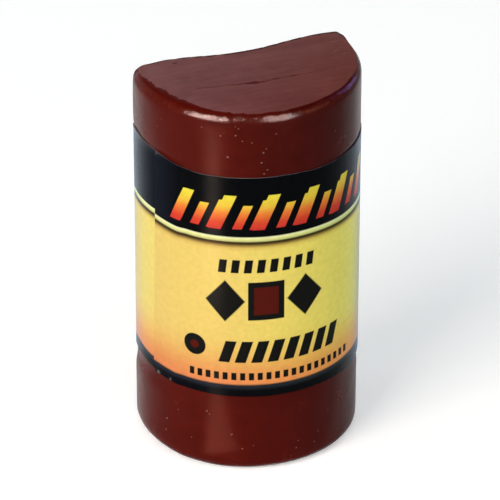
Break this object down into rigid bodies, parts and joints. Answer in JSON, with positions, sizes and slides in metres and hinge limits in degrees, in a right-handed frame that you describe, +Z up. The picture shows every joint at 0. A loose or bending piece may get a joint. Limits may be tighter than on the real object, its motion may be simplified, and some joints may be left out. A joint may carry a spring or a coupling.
{
  "type": "furniture repair wax stick",
  "caption": "Half-round stick of soft brown filler wax for wood repairs, with a printed film wrapped round its waist and lapped over its own end.",
  "frame": {"origin": "middle of the base: on the plane it stands on, midway between the round front and the rear's shoulders and midway between the two sides", "axes": "+Z up along the stick, -Y out of the round front, +Y out of the shallow hollow at the rear, +X to the right as the front is seen"},
  "size_m": [0.0234, 0.0154, 0.0416],
  "materials": {
    "soft_wax": "semi-gloss cast wax, dark red-brown",
    "printed_film": "glossy printed film, yellow with black bands"
  },
  "bodies": {
    "root": {"wax_body": "soft_wax", "label_wrap": "printed_film"}
  },
  "joints": []
}
